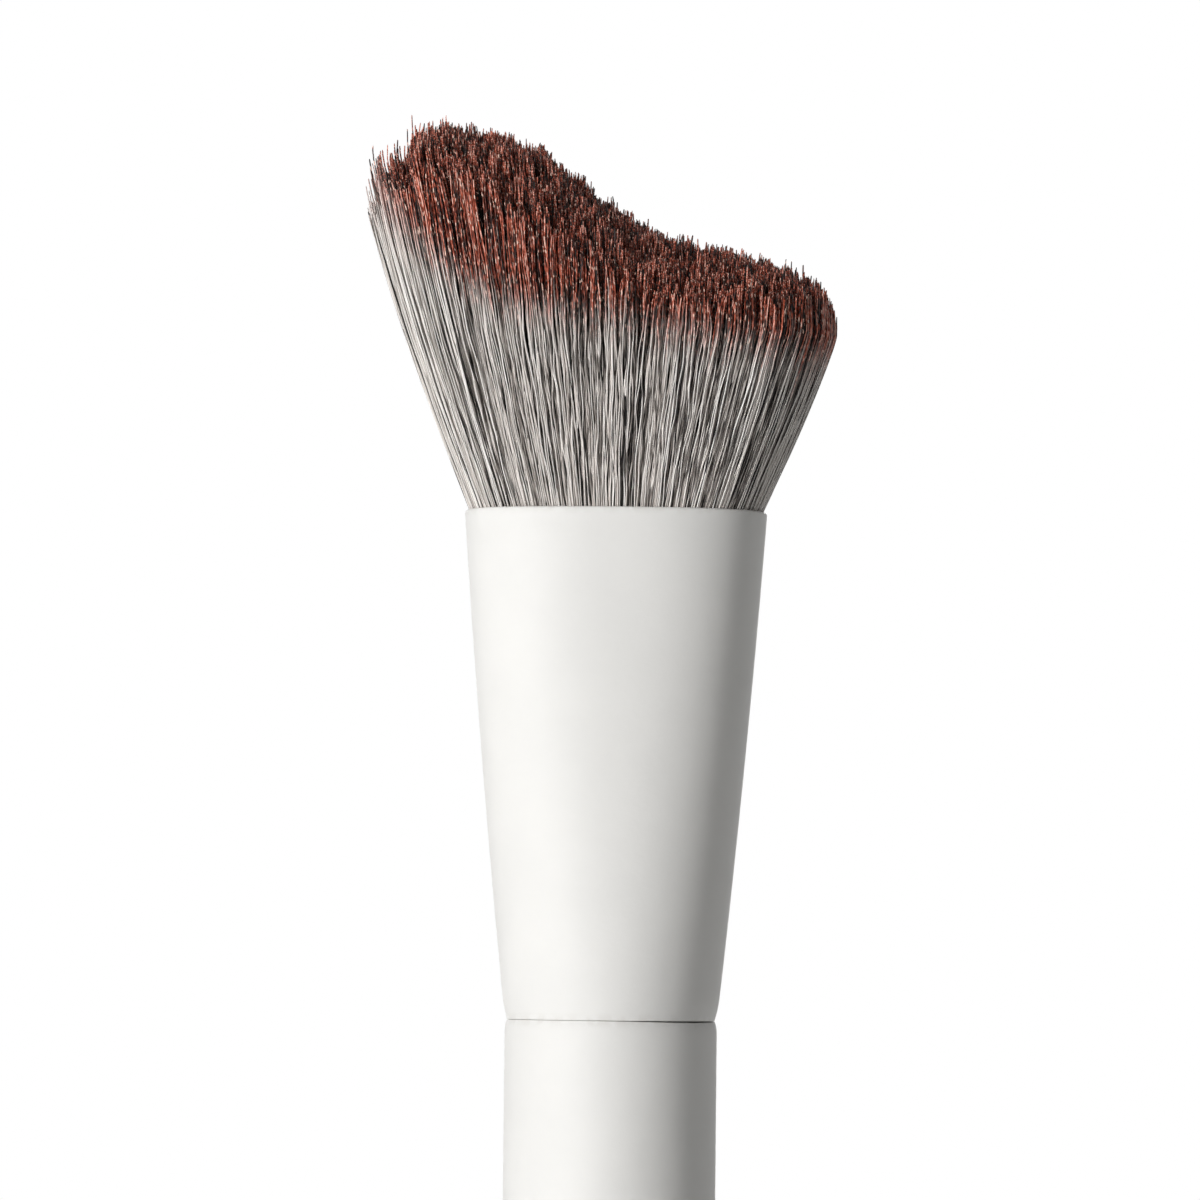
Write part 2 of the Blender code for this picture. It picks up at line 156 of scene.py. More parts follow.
# %% Hang the softboxes
LIGHT_DISTANCE = 1.1
LIGHT_AIM = Vector((0, 0, 40 * MM))


def softbox(name, azimuth, elevation, width, height, level):
    """Area light round the brush: azimuth 0 is the camera's side and 90 the right."""
    data = bpy.data.lights.new(name, "AREA")
    data.shape = "RECTANGLE"
    data.size, data.size_y = width, height
    data.energy = level * (math.pi * LIGHT_DISTANCE) ** 2
    light = bpy.data.objects.new(name, data)
    turn, rise = math.radians(azimuth), math.radians(elevation)
    out = math.cos(rise)
    away = Vector((out * math.sin(turn), -out * math.cos(turn), math.sin(rise)))
    light.location = LIGHT_AIM + LIGHT_DISTANCE * away
    light.rotation_mode = "QUATERNION"
    light.rotation_quaternion = away.to_track_quat("Z", "Y")
    light.visible_camera = False
    scene.collection.objects.link(light)
    print(name, "watts:", round(data.energy, 2))


# Each with azimuth and elevation in degrees, width and height in metres, and its level.
softbox("key_softbox", -43, 8, 0.28, 0.7, 0.95)
softbox("front_fill", -8, 5, 0.3, 0.7, 0.03)
softbox("right_fill", 112, 8, 0.3, 0.7, 0.05)
softbox("back_softbox", 180, 15, 0.4, 0.9, 0.7)
softbox("top_softbox", 0, 85, 0.8, 0.8, 0.04)

# %% [markdown]
# ## Wiring nodes
# The world, the floor and every finish are wired from nodes. Written out, each node takes a line to
# add it and one for every input, and the idea gets lost among them. So one helper adds a node and
# feeds its inputs, and short ones add the few kinds that return.

# %% Helpers for wiring nodes
RANGE_INPUTS = "Value", "From Min", "From Max", "To Min", "To Max"


def feed(tree, node, sources):
    """Give inputs, by name or number, either another node's output or a fixed value."""
    for label, source in dict(sources).items():
        if isinstance(source, bpy.types.NodeSocket):
            tree.links.new(source, node.inputs[label])
        else:
            node.inputs[label].default_value = source


def add_node(tree, kind, sources=(), **settings):
    """New node, with its settings given by name and its inputs fed."""
    node = tree.nodes.new(kind)
    for name, value in settings.items():
        setattr(node, name, value)
    feed(tree, node, sources)
    return node


def add_math(tree, operation, *values, clamp=False):
    settings = {"operation": operation, "use_clamp": clamp}
    return add_node(tree, "ShaderNodeMath", enumerate(values), **settings).outputs[0]


def add_range(tree, value, start, end, low, high, kind="LINEAR"):
    """Map the values from start to end onto low to high."""
    sources = zip(RANGE_INPUTS, (value, start, end, low, high))
    return add_node(tree, "ShaderNodeMapRange", sources, interpolation_type=kind).outputs["Result"]


def add_mix(tree, factor, first, second):
    sources = {"Factor": factor, "A": first, "B": second}
    return add_node(tree, "ShaderNodeMix", sources, data_type="RGBA").outputs["Result"]


def add_shader_mix(tree, factor, first, second):
    return add_node(tree, "ShaderNodeMixShader", enumerate((factor, first, second))).outputs[0]


# %% [markdown]
# ## White all round
# The background is pure white, yet the light on the brush has to stay gentle. The world therefore
# answers rays in two ways: rays from the camera, and rays that glossy or clear surfaces send on,
# find plain white, while rays that only ask how much light falls on a matt surface find a dim grey.
# Turning the world up to white for all rays would be simpler, but it would wash the shade away.

# %% Make the world
AMBIENT_LEVEL = 0.02


def seen_directly(tree):
    """1 for rays from the camera and rays that gloss or glass sends on, and 0 for the rest."""
    path = add_node(tree, "ShaderNodeLightPath").outputs
    seen = add_math(tree, "MAXIMUM", path["Is Camera Ray"], path["Is Glossy Ray"])
    return add_math(tree, "MAXIMUM", seen, path["Is Transmission Ray"])


world = bpy.data.worlds.new("white_studio")
scene.world = world
world.use_nodes = True
tree = world.node_tree
tree.nodes.clear()
dim = add_node(tree, "ShaderNodeBackground", {"Strength": AMBIENT_LEVEL}).outputs[0]
white = add_node(tree, "ShaderNodeBackground", {"Color": (1, 1, 1, 1)}).outputs[0]
backdrop = add_shader_mix(tree, seen_directly(tree), dim, white)
add_node(tree, "ShaderNodeOutputWorld", {"Surface": backdrop})
print("world level for matt surfaces:", AMBIENT_LEVEL)

# %% [markdown]
# ## The floor
# The floor is a pale disc at the brush's lowest point. Near the brush it is a matt surface that
# takes a shadow, lifted a little for the camera because the low softboxes graze it. Further out it
# fades to the background's white, so it has no horizon. Seen from below it lets the camera through,
# so that the underside can be looked at too.

# %% Lay the floor
FLOOR_RADIUS = 1.5
FLOOR_STEPS = 128
FLOOR_COLOUR = 0.86, 0.86, 0.85, 1
FLOOR_ROUGHNESS = 0.7
FADE_START = 0.10
FADE_END = 0.45
FLOOR_LIFT = 0.5


def start_material(name):
    """New material with its tree, its shader and the object's own coordinates."""
    material = bpy.data.materials.new(name)
    material.use_nodes = True
    tree = material.node_tree
    coordinates = add_node(tree, "ShaderNodeTexCoord").outputs["Object"]
    return material, tree, tree.nodes["Principled BSDF"], coordinates


def make_floor_paint():
    material, tree, matt, place = start_material("pale_floor")
    feed(tree, matt, {"Base Color": FLOOR_COLOUR, "Roughness": FLOOR_ROUGHNESS})
    reach = add_node(tree, "ShaderNodeVectorMath", {0: place}, operation="LENGTH").outputs["Value"]
    fade = add_range(tree, reach, FADE_START, FADE_END, FLOOR_LIFT, 1, "SMOOTHSTEP")
    seen = seen_directly(tree)
    white = add_node(tree, "ShaderNodeEmission").outputs[0]
    above = add_shader_mix(tree, add_math(tree, "MULTIPLY", fade, seen), matt.outputs[0], white)
    below = add_node(tree, "ShaderNodeNewGeometry").outputs["Backfacing"]
    clear = add_node(tree, "ShaderNodeBsdfTransparent").outputs[0]
    surface = add_shader_mix(tree, add_math(tree, "MULTIPLY", below, seen), above, clear)
    feed(tree, tree.nodes["Material Output"], {"Surface": surface})
    return material


disc = bmesh.new()
bmesh.ops.create_circle(disc, cap_ends=True, segments=FLOOR_STEPS, radius=FLOOR_RADIUS)
floor_mesh = bpy.data.meshes.new("studio_floor")
disc.to_mesh(floor_mesh)
disc.free()
floor_mesh.materials.append(make_floor_paint())
floor = bpy.data.objects.new("studio_floor", floor_mesh)
floor.location.z = cad_box[0].z
scene.collection.objects.link(floor)
floor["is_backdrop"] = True
print("floor in mm:", in_mm(floor.location.z))

# %% [markdown]
# ## Effects that finishes share
# Real surfaces are never one flat colour. Three effects return in several finishes here: a fine
# grain that makes the surface slightly bumpy, a slow drift of tone, and edges that years of
# handling have polished. Each is a node group with named inputs, built once. A group could hold a
# whole finish, but small effects that can be combined are easier to tune.

# %% Helpers for node groups
def new_group(name, inputs, outputs):
    """Node group with a Vector, inputs that start at these numbers or colours, and outputs."""
    group = bpy.data.node_groups.new(name, "ShaderNodeTree")
    add_socket = group.interface.new_socket
    add_socket("Vector", in_out="INPUT", socket_type="NodeSocketVector")
    for label, value in inputs.items():
        kind = "NodeSocketFloat" if isinstance(value, float) else "NodeSocketColor"
        add_socket(label, in_out="INPUT", socket_type=kind).default_value = value
    for label, kind in outputs.items():
        add_socket(label, in_out="OUTPUT", socket_type=f"NodeSocket{kind}")
    print("node group:", name)
    return group, group.nodes.new("NodeGroupInput").outputs, group.nodes.new("NodeGroupOutput")


def place_group(tree, group, coordinates, values):
    """Outputs of the group, placed with its own values."""
    sources = {"Vector": coordinates, **values}
    return add_node(tree, "ShaderNodeGroup", sources, node_tree=group).outputs


def add_noise(tree, coordinates, size, detail):
    """Noise whose swells have this real size."""
    sources = {"Vector": coordinates, "Scale": add_math(tree, "DIVIDE", 1, size), "Detail": detail}
    return add_node(tree, "ShaderNodeTexNoise", sources).outputs["Fac"]


# %% [markdown]
# ### Fine grain
# Sprayed lacquer dries with tiny swells, which painters call orange peel, and moulded plastic keeps
# the texture of its mould. Both are a noise at a fixed real size, whose height each material turns
# into a normal with a Bump node. The swells could be modelled, but at a few thousandths of a
# millimetre they would need millions of faces.

# %% Build the grain group
grain_group, given, result = new_group(
    "fine_grain",
    {"Grain Size": 0.4 * MM, "Detail": 1.0},
    {"Height": "Float"},
)
noise = add_noise(grain_group, given["Vector"], given["Grain Size"], given["Detail"])
feed(grain_group, result, {"Height": noise})

# %% [markdown]
# ### Tone drift
# A coat of lacquer is a little thicker here and thinner there, and glue yellows unevenly. The group
# moves a colour slowly between two given tones, so that a large plain area never looks computed.

# %% Build the tone group
TONE_DETAIL = 3
TONE_SPAN = 0.35, 0.65

tone_group, given, result = new_group(
    "tone_drift",
    {"Tone A": (1, 1, 1, 1), "Tone B": (0.9, 0.9, 0.9, 1), "Patch Size": 6 * MM},
    {"Color": "Color", "Mask": "Float"},
)
noise = add_noise(tone_group, given["Vector"], given["Patch Size"], TONE_DETAIL)
spread = add_range(tone_group, noise, *TONE_SPAN, 0, 1, "SMOOTHSTEP")
tones = add_mix(tone_group, spread, given["Tone A"], given["Tone B"])
feed(tone_group, result, {"Color": tones, "Mask": spread})

# %% [markdown]
# ### Worn edges
# Fingers and cloths rub a lacquered edge first: it turns glossier and a trace darker. All edges of
# this brush lie at known heights along it, so the group measures the distance to one height and
# breaks the band up with noise. A bevel node could find any edge by itself, but it makes each
# sample slower, and it would also find the edges that nobody touches.

# %% Build the wear group
WEAR_DETAIL = 4
WEAR_SPAN = 0.4, 0.6

wear_group, given, result = new_group(
    "edge_wear",
    {"Edge Height": 0.0, "Band": 0.6 * MM, "Patch Size": 0.8 * MM},
    {"Mask": "Float"},
)
height = add_node(wear_group, "ShaderNodeSeparateXYZ", {0: given["Vector"]}).outputs["Z"]
offset = add_math(wear_group, "SUBTRACT", height, given["Edge Height"])
distance = add_math(wear_group, "ABSOLUTE", offset)
nearness = add_range(wear_group, distance, 0, given["Band"], 1, 0, "SMOOTHSTEP")
noise = add_noise(wear_group, given["Vector"], given["Patch Size"], WEAR_DETAIL)
patches = add_range(wear_group, noise, *WEAR_SPAN, 0, 1, "SMOOTHSTEP")
feed(wear_group, result, {"Mask": add_math(wear_group, "MULTIPLY", nearness, patches)})

# %% [markdown]
# ## White lacquer
# The handle and both ferrules wear the same satin lacquer, a warm white. Its gloss is soft, so the
# softboxes show as broad glows and not as shapes. The grain shows only where light grazes the
# surface, along the edge of the shade, which is what makes it read as paint and not as paper.

# %% Mix the lacquer
LACQUER_TONES = {"Tone A": (0.865, 0.855, 0.83, 1), "Tone B": (0.845, 0.836, 0.812, 1)}
WORN_TONE = 0.80, 0.785, 0.755, 1
LACQUER_ROUGHNESS = 0.58
WORN_ROUGHNESS = 0.42
LACQUER_GLOSS = 0.4
PEEL = {"Grain Size": 0.36 * MM, "Detail": 1.5}
PEEL_HEIGHT = 0.007 * MM


def add_bump(tree, height, distance):
    """Normal of a bump of this real depth."""
    sources = {"Height": height, "Distance": distance}
    return add_node(tree, "ShaderNodeBump", sources).outputs["Normal"]


def make_lacquer():
    material, tree, shader, place = start_material("white_lacquer")
    tone = place_group(tree, tone_group, place, LACQUER_TONES)
    grain = place_group(tree, grain_group, place, PEEL)
    worn = 0
    for head in (large_head, small_head):
        for height in (head.seam, head.seam + head.length):
            wear = place_group(tree, wear_group, place, {"Edge Height": head.side * height})
            worn = add_math(tree, "MAXIMUM", worn, wear["Mask"])
    feed(tree, shader, {
        "Base Color": add_mix(tree, worn, tone["Color"], WORN_TONE),
        "Roughness": add_range(tree, worn, 0, 1, LACQUER_ROUGHNESS, WORN_ROUGHNESS),
        "Normal": add_bump(tree, grain["Height"], PEEL_HEIGHT),
        "Specular IOR Level": LACQUER_GLOSS,
    })
    return material


lacquer = make_lacquer()
print("finish:", lacquer.name)

# %% [markdown]
# ## Turned and pressed shells
# A tube and a ferrule are both thin walls round the axis. Each is drawn as a stack of rings that
# runs up the outside, over the lip and down the inside, so the wall is closed and has a real
# thickness. Spinning a profile would do for the round handle, but the large ferrule changes from a
# circle to an oval on the way up, so all of them are lofted through rings.

# %% Helpers for rings and lofts
RING_STEPS = 192
EASE_POWER = 2.2
SHARP_ANGLE = math.radians(40)


def mixed(low, high, share):
    return low + (high - low) * share


def eased(share):
    """Inset of a rounded edge, from 1 at its end to 0 where it meets the straight wall."""
    return (1 - share) ** EASE_POWER


def superellipse(angle, exponent):
    """Points at these angles on a unit superellipse: exponent 2 is a circle, more is squarer."""
    across, along = np.cos(angle), np.sin(angle)
    radius = (abs(across) ** exponent + abs(along) ** exponent) ** (-1 / exponent)
    return radius * across, radius * along


def to_world(head, points):
    """Points of a head from seam coordinates to the brush's. The small head is turned over."""
    return points * (1, head.side, head.side) + (0, 0, head.side * head.seam)


def full_turn(steps):
    return np.linspace(0, math.tau, steps, endpoint=False)


def new_piece(name, mesh, material):
    """Object of the brush that rides on its one body."""
    mesh.materials.append(material)
    piece = bpy.data.objects.new(name, mesh)
    scene.collection.objects.link(piece)
    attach(piece, "root")
    return piece


def loft(name, rings, joined):
    """Mesh through an array of rings, each anticlockwise seen from the far end.

    Where joined, the last ring meets the first one, as in a wall. Otherwise flat ends close it.
    """
    count, steps = rings.shape[:2]
    index = np.arange(count * steps).reshape(count, steps)
    lower = index if joined else index[:-1]
    upper = np.roll(index, -1, axis=0) if joined else index[1:]
    corners = (lower, np.roll(lower, -1, axis=1), np.roll(upper, -1, axis=1), upper)
    faces = np.stack(corners, axis=-1).reshape(-1, 4).tolist()
    if not joined:
        faces += [index[-1].tolist(), index[0][::-1].tolist()]
    mesh = bpy.data.meshes.new(name)
    mesh.from_pydata(rings.reshape(-1, 3).tolist(), [], faces)
    mesh.shade_smooth()
    mesh.set_sharp_from_angle(angle=SHARP_ANGLE)
    return mesh


# %% [markdown]
# ### The handle
# The handle is a straight tube. Its end edges roll gently inwards, which with the ferrule's own
# rolled hem makes the fine groove at the seam. The upper edge is broken a hair deeper at the front
# right, where the seam gapes by some hundredths of a millimetre and shows as a thin dark line. All
# round the rest it almost vanishes.

# %% Make the handle
SEAM_GAP = 0.02 * MM
SEAM_GAPE = 0.09 * MM
GAPE_ANGLE = math.radians(-40)
GAPE_POWER = 12
HANDLE_WALL = 1.2 * MM
SHOULDER_HEIGHT = 0.8 * MM
SHOULDER_INSET = 0.12 * MM
EDGE_ROUND = 0.03 * MM
ARC_STEPS = 8


def edge_arc():
    """Inset and rise round the fine rounding of an end, from its flat face to its side."""
    arcs = np.linspace(0, math.pi / 2, ARC_STEPS + 1)[:-1]
    return [(EDGE_ROUND * (1 - math.sin(arc)), EDGE_ROUND * (1 - math.cos(arc))) for arc in arcs]


def handle_profile():
    """Radius and height from the lower end up the outside, over the upper end and down the bore."""
    end = large_head.seam - SEAM_GAP / 2
    edge = [(handle_radius - SHOULDER_INSET - inset, rise) for inset, rise in edge_arc()]
    shoulder = [(handle_radius - SHOULDER_INSET * eased(share),
                 mixed(EDGE_ROUND, SHOULDER_HEIGHT, share))
                for share in np.linspace(0, 1, 2 * ARC_STEPS + 1)]
    lower = [(radius, rise - end) for radius, rise in edge + shoulder]
    upper = [(radius, -height) for radius, height in reversed(lower)]
    bore = handle_radius - HANDLE_WALL
    return lower + upper + [(bore, end), (bore, -end)]


def make_handle():
    angles = full_turn(RING_STEPS)
    gape = SEAM_GAPE * ((1 + np.cos(angles - GAPE_ANGLE)) / 2) ** GAPE_POWER
    rings = []
    for radius, height in handle_profile():
        outside = radius > handle_radius - HANDLE_WALL
        near_seam = outside * np.clip(1 + (height - large_head.seam) / SHOULDER_HEIGHT, 0, 1)
        circle = radius * np.cos(angles), radius * np.sin(angles), height - near_seam * gape
        rings.append(np.stack(circle, axis=-1))
    rings = np.array(rings)
    piece = new_piece("white_handle", loft("white_handle", rings, True), lacquer)
    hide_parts("handle_barrel")
    print("handle faces:", len(piece.data.polygons))


make_handle()

# %% [markdown]
# ### The ferrules
# A ferrule is pressed from sheet. It starts as wide as the handle, with its hem rolled in, and
# opens out to the mouth that shapes the tuft. The large one turns oval on the way: its width and
# depth grow at different rates, and the exponent of its outline rises, which squares the corners a
# little. The lip is rolled to a half circle so that it doesn't cut the filaments.

# %% Make the ferrules
FERRULE_WALL = 0.4 * MM
HEM_HEIGHT = 1.7 * MM
HEM_INSET = 0.15 * MM
TAPER_EASE_SHARE = 0.2
WALL_STEPS = 24


def ferrule_section(head, height, inset):
    """Half width, half depth and exponent of the ferrule at a height above its seam."""
    share = np.clip(height / head.length, 0, 1)
    taper = share + TAPER_EASE_SHARE * share * (1 - share)
    hem = HEM_INSET * eased(np.clip(height / HEM_HEIGHT, 0, 1)) + inset
    half_width = mixed(handle_radius, head.half_width, taper) - hem
    half_depth = mixed(handle_radius, head.half_depth, taper) - hem
    return half_width, half_depth, mixed(CIRCLE_EXPONENT, head.exponent, share)


def ferrule_ring(head, height, inset, steps=RING_STEPS):
    half_width, half_depth, exponent = ferrule_section(head, height, inset)
    across, along = superellipse(full_turn(steps), exponent)
    return np.stack([half_width * across, half_depth * along, np.full(steps, height)], axis=-1)


def ferrule_profile(head):
    """Height and inset from the inner edge of the hem, up the outside, over the lip and down."""
    foot = SEAM_GAP / 2
    lip = FERRULE_WALL / 2
    wall_top = head.length - lip
    edge = [(foot + rise, inset) for inset, rise in edge_arc()]
    hem = [(height, 0) for height in np.linspace(foot + EDGE_ROUND, HEM_HEIGHT, 2 * ARC_STEPS)]
    wall = [(height, 0) for height in np.linspace(HEM_HEIGHT, wall_top, WALL_STEPS)[1:]]
    roll = [(wall_top + lip * math.sin(arc), lip - lip * math.cos(arc))
            for arc in np.linspace(0, math.pi, 2 * ARC_STEPS + 1)[1:]]
    inside = [(height, FERRULE_WALL) for height in (HEM_HEIGHT, foot)]
    return edge + hem + wall + roll + inside


def make_ferrule(head):
    name = f"{head.name}_white_ferrule"
    rings = np.array([ferrule_ring(head, height, inset) for height, inset in ferrule_profile(head)])
    piece = new_piece(name, loft(name, to_world(head, rings), True), lacquer)
    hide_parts(f"{head.name}_ferrule")
    print(name, "faces:", len(piece.data.polygons))


for head in (large_head, small_head):
    make_ferrule(head)

# %% [markdown]
# ## Filament finish
# The filaments are a taupe synthetic fibre whose tips were dipped in a reddish brown dye. No two
# take light alike, so every filament gets its own tone from pale to dark, and the dye line wavers
# from one to the next. The colours are drawn on a texture map instead of in space: across the map
# runs the tone, and up the map the height above or below the dye line. Each filament is laid on a
# narrow strip of that map, so thousands of them share one small picture when the model is exported.

# %% Helpers for the filament map
FILAMENT_MAP = "OFBake"
MAP_STRIPS = 64
MAP_HEIGHT = 33.0 * MM
NOISE_SPAN = 0.3, 0.7


def add_ramp(tree, points, factor):
    ramp = add_node(tree, "ShaderNodeValToRGB", {"Fac": factor})
    elements = ramp.color_ramp.elements
    for place, colour in points[1:-1]:
        elements.new(place)
    for element, (place, colour) in zip(elements, points):
        element.position, element.color = place, colour
    return ramp.outputs["Color"]


def add_strip_noise(tree, strips, length, detail):
    """Noise that differs from strip to strip and changes along each over the given length."""
    sources = {0: strips, 1: (MAP_STRIPS, MAP_HEIGHT / length, 1)}
    cells = add_node(tree, "ShaderNodeVectorMath", sources, operation="MULTIPLY").outputs["Vector"]
    sources = {"Vector": cells, "Scale": 1, "Detail": detail}
    return add_node(tree, "ShaderNodeTexNoise", sources).outputs["Fac"]


def add_shifted(tree, tone, noise, reach):
    """The tone, moved up or down by the noise."""
    shift = add_range(tree, noise, *NOISE_SPAN, -reach, reach)
    return add_math(tree, "ADD", tone, shift, clamp=True)


# %% Mix the filament finish
MAP_BELOW_DYE = 21.0 * MM
DYE_FEATHER = 3.6 * MM
# Both ramps run wider than the fibres' own tones: their near-black ends are partly painted shade in
# the gaps between filaments, and the dyed ramp's bright copper end is partly a painted highlight.
UNDYED_RAMP = (
    (0.00, (0.003, 0.002, 0.002, 1)),
    (0.10, (0.014, 0.011, 0.010, 1)),
    (0.22, (0.240, 0.210, 0.190, 1)),
    (0.38, (0.780, 0.720, 0.675, 1)),
    (1.00, (0.985, 0.955, 0.920, 1)),
)
DYED_RAMP = (
    (0.00, (0.002, 0.001, 0.001, 1)),
    (0.22, (0.020, 0.004, 0.002, 1)),
    (0.46, (0.200, 0.035, 0.017, 1)),
    (0.74, (0.600, 0.140, 0.078, 1)),
    (1.00, (0.960, 0.500, 0.400, 1)),
)
STREAK_LENGTH = 1.6 * MM
STREAK_SHIFT = 0.16
DASH_LENGTH = 0.45 * MM
DASH_SHIFT = 0.38
# Painted highlights: short pinkish-white specks on the dyed filaments stand in for glints of light on
# the fibres.
PAINTED_GLINT_LENGTH = 0.40 * MM
PAINTED_GLINT_SPAN = 0.65, 0.71
PAINTED_GLINT_SHARE = 0.95
PAINTED_GLINT_COLOUR = 0.97, 0.66, 0.54, 1
FILAMENT_ROUGHNESS = 0.30
FILAMENT_GLOSS = 0.2


def make_filament_finish():
    material, tree, shader, _ = start_material("dyed_filament")
    strips = add_node(tree, "ShaderNodeUVMap", uv_map=FILAMENT_MAP).outputs["UV"]
    tone, height, _ = add_node(tree, "ShaderNodeSeparateXYZ", {0: strips}).outputs

    streaks = add_strip_noise(tree, strips, STREAK_LENGTH, 2)
    grey = add_ramp(tree, UNDYED_RAMP, add_shifted(tree, tone, streaks, STREAK_SHIFT))
    dashes = add_strip_noise(tree, strips, DASH_LENGTH, 1)
    brown = add_ramp(tree, DYED_RAMP, add_shifted(tree, tone, dashes, DASH_SHIFT))
    # Painted highlight: the specks are mixed over the dyed brown.
    painted_glint_noise = add_strip_noise(tree, strips, PAINTED_GLINT_LENGTH, 0)
    painted_glint = add_range(tree, painted_glint_noise, *PAINTED_GLINT_SPAN, 0, PAINTED_GLINT_SHARE, "SMOOTHSTEP")
    start, end = ((MAP_BELOW_DYE + side * DYE_FEATHER / 2) / MAP_HEIGHT for side in (-1, 1))
    dyed = add_range(tree, height, start, end, 0, 1, "SMOOTHSTEP")
    feed(tree, shader, {
        "Base Color": add_mix(tree, dyed, grey, add_mix(tree, painted_glint, brown, PAINTED_GLINT_COLOUR)),
        "Roughness": FILAMENT_ROUGHNESS,
        "Specular IOR Level": FILAMENT_GLOSS,
    })
    return material


filament_finish = make_filament_finish()
print("finish:", filament_finish.name, "on", MAP_STRIPS, "strips")

# %% [markdown]
# ## Shape of the tufts
# A tuft is a flow of filaments: each leaves the mouth at its own place and fans out towards its own
# tip. A place is given in a unit section, p across and q through the depth, both from -1 to 1 at
# the edge. Four short rules say how wide and how deep the flow is at a height above the mouth, how
# tall the filament at a place is, and how high the dye starts there. Two more say how fast the dye
# deepens, which is slowly at the crest's outer corner, and how many filaments escaped the shears.
# Each tuft is a set of such rules, so what draws filaments never needs to know which tuft it draws.

# %% Describe a tuft
FLARE_ROUND_SHARE = 0.5

Tuft = namedtuple("Tuft", "half_width half_depth top dye_height dye_pace stray_share")


def flare(share, round_share=FLARE_ROUND_SHARE):
    """Share of the whole flare reached at a share of its height, rounded off towards the top."""
    share = np.clip(share, 0, 1)
    return share + round_share * (np.sin(math.pi / 2 * share) - share)


# %% [markdown]
# ### The large tuft
# Its cut is an S: a high crest on the left, a step down, and a low lobe on the right. Towards both
# ends and both faces the cut falls off in a curve, and the crest's outer corner is lower still.
# There the dye also starts higher and is paler, and some filaments stand out. A drawn curve could
# give the same cut, but in a sum of simple falls each can be tuned alone.

# %% Write the large tuft's rules
CREST_HEIGHT = 23.5 * MM
LOBE_HEIGHT = 15.5 * MM
STEP_PLACE = -1.9 * MM
STEP_WIDTH = 5.2 * MM
CREST_REACH = 16.4 * MM
LOBE_REACH = 13.5 * MM
HALF_DEPTH = 9.55 * MM
CREST_FLARE_HEIGHT = 22.0 * MM
LOBE_FLARE_HEIGHT = 11.1 * MM
DEPTH_FLARE_HEIGHT = 14.0 * MM
CORNER_DROP = 2.0 * MM
CORNER_PLACE = 0.79
CORNER_WIDTH = 0.015
LOBE_DROP = 2.1 * MM
LOBE_DROP_POWER = 3
CREST_RIM_DROP = 3.8 * MM
LOBE_RIM_DROP = 1.6 * MM
RIM_DROP_POWER = 10
CREST_FACE_DROP = 5.6 * MM
LOBE_FACE_DROP = 3.8 * MM
FACE_DROP_POWER = 2.5
LOBE_DYE_HEIGHT = 9.1 * MM
CREST_DYE_HEIGHT = 12.7 * MM
CORNER_DYE_RISE = 8.8 * MM
CORNER_DYE_POWER = 10
CREST_ROUND_SHARE = 0.3
LOBE_ROUND_SHARE = 0.2
CORNER_STRAY_SHARE = 0.05
CORNER_DYE_PACE = 0.4
CORNER_DYE_PLACES = 0.72, 0.92


def large_half_width(p, root, height):
    crest = mixed(root, CREST_REACH, flare(height / CREST_FLARE_HEIGHT, CREST_ROUND_SHARE))
    lobe = mixed(root, LOBE_REACH, flare(height / LOBE_FLARE_HEIGHT, LOBE_ROUND_SHARE))
    return mixed(crest, lobe, (1 + p) / 2)


def large_half_depth(root, height):
    return mixed(root, HALF_DEPTH, flare(height / DEPTH_FLARE_HEIGHT))


def large_top(p, q):
    across = p * mixed(CREST_REACH, LOBE_REACH, (1 + p) / 2)
    step = (1 + np.tanh((across - STEP_PLACE) / STEP_WIDTH)) / 2
    corner = CORNER_DROP * (1 + np.tanh((-p - CORNER_PLACE) / CORNER_WIDTH)) / 2
    lobe = LOBE_DROP * np.clip(p, 0, 1) ** LOBE_DROP_POWER
    rim = mixed(CREST_RIM_DROP, LOBE_RIM_DROP, (1 + p) / 2) * abs(p) ** RIM_DROP_POWER
    face = mixed(CREST_FACE_DROP, LOBE_FACE_DROP, (1 + p) / 2) * abs(q) ** FACE_DROP_POWER
    return mixed(CREST_HEIGHT, LOBE_HEIGHT, step) - corner - lobe - rim - face


def large_dye_height(p):
    towards_crest = (1 - p) / 2
    rise = CORNER_DYE_RISE * towards_crest**CORNER_DYE_POWER
    return mixed(LOBE_DYE_HEIGHT, CREST_DYE_HEIGHT, towards_crest) + rise


def large_dye_pace(p):
    start, end = CORNER_DYE_PLACES
    return mixed(1, CORNER_DYE_PACE, np.clip((-p - start) / (end - start), 0, 1))


def large_stray_share(p):
    return np.where(p < -CORNER_PLACE, CORNER_STRAY_SHARE, 0)


large_tuft = Tuft(large_half_width, large_half_depth, large_top,
                  large_dye_height, large_dye_pace, large_stray_share)
print("crest and lobe in mm:", in_mm(large_top(-0.6, 0), large_top(0.6, 0)))

# %% [markdown]
# ### The small tuft
# The second head is round. One radius and one dome do for it, and its dye starts at one height.

# %% Write the small tuft's rules
SMALL_HEIGHT = 18.5 * MM
SMALL_RADIUS = 8.5 * MM
SMALL_FLARE_HEIGHT = 12.0 * MM
SMALL_DOME_DROP = 5.0 * MM
SMALL_DOME_POWER = 5
SMALL_DYE_HEIGHT = 9.0 * MM


def small_half_width(_, root, height):
    return mixed(root, SMALL_RADIUS, flare(height / SMALL_FLARE_HEIGHT))


def small_half_depth(root, height):
    return small_half_width(0, root, height)


def small_top(p, q):
    return SMALL_HEIGHT - SMALL_DOME_DROP * np.hypot(p, q) ** SMALL_DOME_POWER


def small_dye_height(p):
    return np.full_like(p, SMALL_DYE_HEIGHT)


